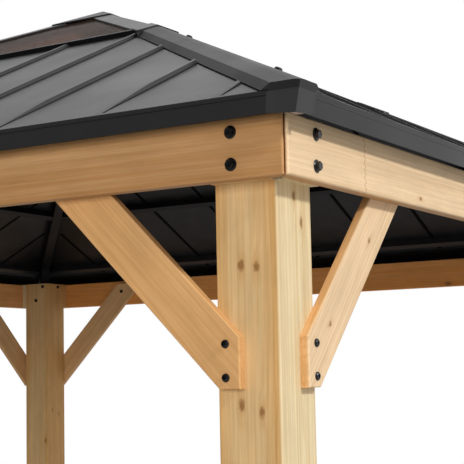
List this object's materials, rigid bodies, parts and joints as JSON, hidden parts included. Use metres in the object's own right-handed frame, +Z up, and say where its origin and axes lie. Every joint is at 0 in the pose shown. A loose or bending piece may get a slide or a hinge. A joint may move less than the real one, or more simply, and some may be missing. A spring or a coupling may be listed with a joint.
{
  "type": "garden gazebo",
  "caption": "Open square garden gazebo: timber corner posts, mitred tie beams and knee braces under a hipped ribbed steel roof with a tinted skylight tier and a small top cap.",
  "frame": {"origin": "centre of the plan at ground level, under the top cap", "axes": "+Z up; -Y is the front and +X the right-hand side, each square to a tie beam"},
  "size_m": [3.4708, 3.4708, 2.9684],
  "materials": {
    "post_timber": "stained softwood, planed",
    "beam_timber": "stained softwood, planed",
    "brace_timber": "stained softwood, planed",
    "roof_steel": "charcoal powder coat, matt",
    "trim_steel": "charcoal powder coat, matt",
    "frame_steel": "black powder coat, matt",
    "tinted_sheet": "smoke-brown translucent sheet"
  },
  "bodies": {
    "root": {"beam_back": "beam_timber", "beam_front": "beam_timber", "beam_left": "beam_timber", "beam_right": "beam_timber", "brace_back_left": "brace_timber", "brace_back_right": "brace_timber", "brace_front_left": "brace_timber", "brace_front_right": "brace_timber", "brace_left_back": "brace_timber", "brace_left_front": "brace_timber", "brace_right_back": "brace_timber", "brace_right_front": "brace_timber", "corner_caps": "trim_steel", "eave_purlins": "frame_steel", "eave_trim_back": "trim_steel", "eave_trim_front": "trim_steel", "eave_trim_left": "trim_steel", "eave_trim_right": "trim_steel", "hip_cap_back_left": "trim_steel", "hip_cap_back_right": "trim_steel", "hip_cap_front_left": "trim_steel", "hip_cap_front_right": "trim_steel", "hip_collars": "trim_steel", "hip_rafters": "frame_steel", "mid_purlins": "frame_steel", "packers_back_left": "beam_timber", "packers_back_right": "beam_timber", "packers_front_left": "beam_timber", "packers_front_right": "beam_timber", "post_back_left": "post_timber", "post_back_right": "post_timber", "post_front_left": "post_timber", "post_front_right": "post_timber", "rafter_seats": "frame_steel", "roof_sheet_back": "roof_steel", "roof_sheet_front": "roof_steel", "roof_sheet_left": "roof_steel", "roof_sheet_right": "roof_steel", "skylight_bars": "trim_steel", "skylight_curb": "frame_steel", "skylight_pane_back": "tinted_sheet", "skylight_pane_front": "tinted_sheet", "skylight_pane_left": "tinted_sheet", "skylight_pane_right": "tinted_sheet", "top_cap": "trim_steel"}
  },
  "joints": []
}
